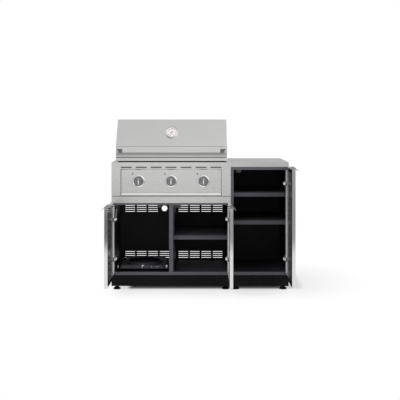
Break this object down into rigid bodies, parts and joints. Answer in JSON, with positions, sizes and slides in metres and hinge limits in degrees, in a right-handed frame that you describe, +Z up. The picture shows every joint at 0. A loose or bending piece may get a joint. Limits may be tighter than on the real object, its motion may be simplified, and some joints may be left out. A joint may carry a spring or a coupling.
{
  "type": "outdoor kitchen island",
  "caption": "Outdoor kitchen island: a stainless gas grill with lift-up hood in a two-door cabinet, beside a taller one-door storage cabinet with a steel worktop.",
  "frame": {"origin": "on the floor, under the centre of the box round the whole part as it stands with its doors open", "axes": "+X along the front from the grill cabinet towards the side cabinet, +Y from the front towards the back, +Z up"},
  "size_m": [1.282, 1.0264, 1.197],
  "materials": {
    "brushed_stainless": "brushed stainless sheet",
    "polished_stainless": "polished trim",
    "slate_coat": "fine textured powder coat, slate grey",
    "black_coat": "satin black powder coat",
    "liner_coat": "satin dark grey powder coat",
    "dark_casting": "dark grey die casting",
    "bright_steel": "nickel plated steel",
    "plain_steel": "plain stainless sheet",
    "black_plastic": "moulded plastic",
    "grate_enamel": "seasoned bar",
    "valve_brass": "machined",
    "needle_red": "painted pointer"
  },
  "bodies": {
    "cabinet": {"grill_cabinet_sides": "slate_coat", "grill_cabinet_back": "slate_coat", "grill_cabinet_floor": "slate_coat", "grill_cabinet_divider": "slate_coat", "grill_cabinet_apron": "brushed_stainless", "side_cabinet_sides": "slate_coat", "side_cabinet_back": "slate_coat", "side_cabinet_floor": "slate_coat", "side_cabinet_countertop": "brushed_stainless", "cabinet_top_rails": "slate_coat", "toe_kicks": "black_coat", "cabinet_shelves": "slate_coat", "shelf_pins": "bright_steel", "hinge_arms": "bright_steel", "magnetic_catches": "black_plastic", "tray_rails": "black_coat", "grill_firebox": "plain_steel", "grill_deck": "brushed_stainless", "grill_control_panel": "brushed_stainless", "knob_bezels": "polished_stainless", "gas_manifold": "valve_brass", "burners": "plain_steel", "flame_tamers": "plain_steel", "cooking_grates": "grate_enamel", "hood_pivot_brackets": "plain_steel"},
    "hood": {"hood_shell": "brushed_stainless", "hood_end_panels": "brushed_stainless", "hood_liner": "plain_steel", "hood_handle_bar": "brushed_stainless", "hood_handle_brackets": "dark_casting", "thermometer_case": "polished_stainless"},
    "gauge_needle": {"thermometer_needle": "needle_red"},
    "left_valve": {"left_valve_stem": "valve_brass"},
    "left_knob": {"left_knob": "polished_stainless"},
    "centre_valve": {"centre_valve_stem": "valve_brass"},
    "centre_knob": {"centre_knob": "polished_stainless"},
    "right_valve": {"right_valve_stem": "valve_brass"},
    "right_knob": {"right_knob": "polished_stainless"},
    "drip_tray": {"drip_tray": "brushed_stainless"},
    "tank_tray": {"tank_tray": "black_coat"},
    "left_door": {"left_door_pan": "brushed_stainless", "left_door_liner": "liner_coat", "left_door_pull": "brushed_stainless", "left_door_hinge_cups": "bright_steel"},
    "middle_door": {"middle_door_pan": "brushed_stainless", "middle_door_liner": "liner_coat", "middle_door_pull": "brushed_stainless", "middle_door_hinge_cups": "bright_steel"},
    "right_door": {"right_door_pan": "brushed_stainless", "right_door_liner": "liner_coat", "right_door_pull": "brushed_stainless", "right_door_hinge_cups": "bright_steel"},
    "foot_1": {"levelling_foot_1": "black_plastic"},
    "foot_2": {"levelling_foot_2": "black_plastic"},
    "foot_3": {"levelling_foot_3": "black_plastic"},
    "foot_4": {"levelling_foot_4": "black_plastic"},
    "foot_5": {"levelling_foot_5": "black_plastic"},
    "foot_6": {"levelling_foot_6": "black_plastic"},
    "foot_7": {"levelling_foot_7": "black_plastic"},
    "foot_8": {"levelling_foot_8": "black_plastic"}
  },
  "joints": [
    {"name": "hood_hinge", "type": "hinge", "parent": "cabinet", "child": "hood", "pos_m": [-0.203, 0.43825, 0.938], "axis": [-1, 0, 0], "range_deg": [0, 80]},
    {"name": "thermometer_needle_turn", "type": "hinge", "parent": "hood", "child": "gauge_needle", "pos_m": [-0.203, 0.05181, 1.1], "axis": [0, 0.7894, -0.6139], "range_deg": [0, 240], "stiffness_Nm_per_rad": 0.0005},
    {"name": "left_knob_push", "type": "slide", "parent": "cabinet", "child": "left_valve", "axis": [0, 1, 0], "range_m": [0, 0.004], "stiffness_N_per_m": 2000},
    {"name": "left_knob_turn", "type": "hinge", "parent": "left_valve", "child": "left_knob", "pos_m": [-0.431, -0.08675, 0.7635], "axis": [0, -1, 0], "range_deg": [0, 225]},
    {"name": "centre_knob_push", "type": "slide", "parent": "cabinet", "child": "centre_valve", "axis": [0, 1, 0], "range_m": [0, 0.004], "stiffness_N_per_m": 2000},
    {"name": "centre_knob_turn", "type": "hinge", "parent": "centre_valve", "child": "centre_knob", "pos_m": [-0.203, -0.08675, 0.7635], "axis": [0, -1, 0], "range_deg": [0, 225]},
    {"name": "right_knob_push", "type": "slide", "parent": "cabinet", "child": "right_valve", "axis": [0, 1, 0], "range_m": [0, 0.004], "stiffness_N_per_m": 2000},
    {"name": "right_knob_turn", "type": "hinge", "parent": "right_valve", "child": "right_knob", "pos_m": [0.025, -0.08675, 0.7635], "axis": [0, -1, 0], "range_deg": [0, 225]},
    {"name": "drip_tray_slide", "type": "slide", "parent": "cabinet", "child": "drip_tray", "axis": [0, -1, 0], "range_m": [0, 0.35]},
    {"name": "tank_tray_slide", "type": "slide", "parent": "cabinet", "child": "tank_tray", "axis": [0, -1, 0], "range_m": [0, 0.3]},
    {"name": "left_door_hinge", "type": "hinge", "parent": "cabinet", "child": "left_door", "pos_m": [-0.614, -0.10425, 0], "axis": [0, 0, -1], "range_deg": [-90, 10]},
    {"name": "middle_door_hinge", "type": "hinge", "parent": "cabinet", "child": "middle_door", "pos_m": [0.208, -0.10425, 0], "axis": [0, 0, 1], "range_deg": [-90, 10]},
    {"name": "right_door_hinge", "type": "hinge", "parent": "cabinet", "child": "right_door", "pos_m": [0.614, -0.10425, 0], "axis": [0, 0, 1], "range_deg": [-90, 10]},
    {"name": "foot_1_adjust", "type": "slide", "parent": "cabinet", "child": "foot_1", "axis": [0, 0, 1], "range_m": [-0.012, 0.008]},
    {"name": "foot_2_adjust", "type": "slide", "parent": "cabinet", "child": "foot_2", "axis": [0, 0, 1], "range_m": [-0.012, 0.008]},
    {"name": "foot_3_adjust", "type": "slide", "parent": "cabinet", "child": "foot_3", "axis": [0, 0, 1], "range_m": [-0.012, 0.008]},
    {"name": "foot_4_adjust", "type": "slide", "parent": "cabinet", "child": "foot_4", "axis": [0, 0, 1], "range_m": [-0.012, 0.008]},
    {"name": "foot_5_adjust", "type": "slide", "parent": "cabinet", "child": "foot_5", "axis": [0, 0, 1], "range_m": [-0.012, 0.008]},
    {"name": "foot_6_adjust", "type": "slide", "parent": "cabinet", "child": "foot_6", "axis": [0, 0, 1], "range_m": [-0.012, 0.008]},
    {"name": "foot_7_adjust", "type": "slide", "parent": "cabinet", "child": "foot_7", "axis": [0, 0, 1], "range_m": [-0.012, 0.008]},
    {"name": "foot_8_adjust", "type": "slide", "parent": "cabinet", "child": "foot_8", "axis": [0, 0, 1], "range_m": [-0.012, 0.008]}
  ]
}
